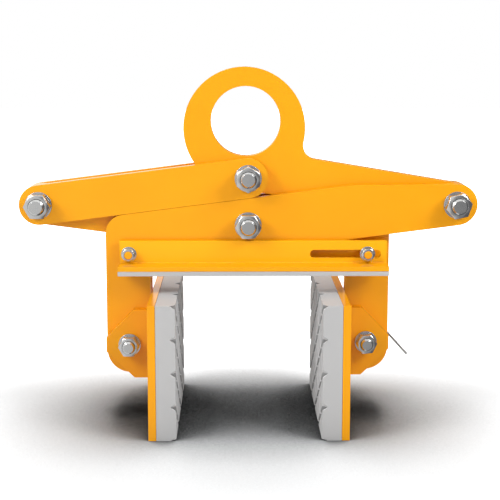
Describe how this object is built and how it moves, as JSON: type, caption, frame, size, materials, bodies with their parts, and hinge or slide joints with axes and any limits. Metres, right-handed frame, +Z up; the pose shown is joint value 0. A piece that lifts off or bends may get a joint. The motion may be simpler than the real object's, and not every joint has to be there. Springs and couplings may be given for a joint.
{
  "type": "scissor clamp",
  "caption": "Scissor clamp that grips a block between two rubber-faced jaws when its lifting ring is pulled up, with a slotted stop bar.",
  "frame": {"origin": "on the ground, midway between the jaws, in the middle plane of the lever plates", "axes": "+X to the right of the lever plates seen from the side with the stop bar, +Y away from the stop bar, +Z up"},
  "size_m": [0.5981, 0.268, 0.4616],
  "materials": {
    "yellow_paint": "satin powder coat, golden yellow",
    "zinc": "bright zinc plated steel",
    "grey_rubber": "matt light grey non-marking rubber",
    "spring_steel": "plain drawn spring wire"
  },
  "bodies": {
    "jaw_left": {"jaw_left_backing_plate": "yellow_paint", "jaw_left_rubber_pad": "grey_rubber", "jaw_left_ear_front": "yellow_paint", "jaw_left_ear_back": "yellow_paint", "jaw_left_bolt": "zinc", "jaw_left_nut": "zinc", "jaw_left_washer_front": "zinc", "jaw_left_washer_back": "zinc", "jaw_left_spacer_sleeve": "zinc"},
    "lever_a": {"lever_a_plate_front": "yellow_paint", "lever_a_plate_back": "yellow_paint", "centre_pivot_bolt": "zinc", "centre_pivot_nut": "zinc", "centre_pivot_washer_front": "zinc", "centre_pivot_washer_back": "zinc", "right_arm_pivot_bolt": "zinc", "right_arm_pivot_nut": "zinc", "right_arm_pivot_washer_front": "zinc", "right_arm_pivot_washer_back": "zinc", "bar_left_stud": "yellow_paint", "bar_left_collar": "yellow_paint", "bar_left_washer": "zinc", "bar_left_nut": "zinc"},
    "lever_b": {"lever_b_plate": "yellow_paint", "bar_right_stud": "yellow_paint", "bar_right_collar": "yellow_paint", "bar_right_washer": "zinc", "bar_right_nut": "zinc"},
    "jaw_right": {"jaw_right_backing_plate": "yellow_paint", "jaw_right_rubber_pad": "grey_rubber", "jaw_right_ear_front": "yellow_paint", "jaw_right_ear_back": "yellow_paint", "jaw_right_bolt": "zinc", "jaw_right_nut": "zinc", "jaw_right_washer_front": "zinc", "jaw_right_washer_back": "zinc", "jaw_right_positioning_wire": "spring_steel"},
    "left_link": {"link_plate_front": "yellow_paint", "link_plate_back": "yellow_paint", "left_arm_pivot_bolt": "zinc", "left_arm_pivot_nut": "zinc", "left_arm_pivot_washer_front": "zinc", "left_arm_pivot_washer_back": "zinc", "top_pivot_bolt": "zinc", "top_pivot_nut": "zinc", "top_pivot_washer_front": "zinc", "top_pivot_washer_back": "zinc"},
    "ring_arm": {"ring_arm_plate": "yellow_paint"},
    "stop_bar": {"stop_bar_angle": "yellow_paint", "stop_bar_rubber_strip": "grey_rubber"}
  },
  "joints": [
    {"name": "left_jaw_pivot", "type": "hinge", "parent": "jaw_left", "child": "lever_a", "pos_m": [-0.156, 0, 0.1], "axis": [0, -1, 0], "range_deg": [0, 27.5]},
    {"name": "centre_pivot", "type": "hinge", "parent": "lever_a", "child": "lever_b", "pos_m": [0, 0, 0.2565], "axis": [0, 1, 0], "range_deg": [0, 55]},
    {"name": "right_jaw_pivot", "type": "hinge", "parent": "lever_b", "child": "jaw_right", "pos_m": [0.156, 0, 0.1], "axis": [0, -1, 0], "range_deg": [0, 27.5]},
    {"name": "left_arm_pivot", "type": "hinge", "parent": "lever_b", "child": "left_link", "pos_m": [-0.2725, 0, 0.2833], "axis": [0, -1, 0], "range_deg": [0, 53.49]},
    {"name": "right_arm_pivot", "type": "hinge", "parent": "lever_a", "child": "ring_arm", "pos_m": [0.2725, 0, 0.2833], "axis": [0, 1, 0], "range_deg": [0, 53.49]},
    {"name": "bar_left_pivot", "type": "hinge", "parent": "lever_a", "child": "stop_bar", "pos_m": [-0.1554, 0, 0.2203], "axis": [0, 1, 0], "range_deg": [0, 27.5]}
  ],
  "couplings": [
    {"joint": "centre_pivot", "follows": "left_jaw_pivot", "ratio": 2},
    {"joint": "right_jaw_pivot", "follows": "left_jaw_pivot", "ratio": 1},
    {"joint": "left_arm_pivot", "follows": "left_jaw_pivot", "ratio": 1.945},
    {"joint": "right_arm_pivot", "follows": "left_jaw_pivot", "ratio": 1.945},
    {"joint": "bar_left_pivot", "follows": "left_jaw_pivot", "ratio": 1}
  ]
}
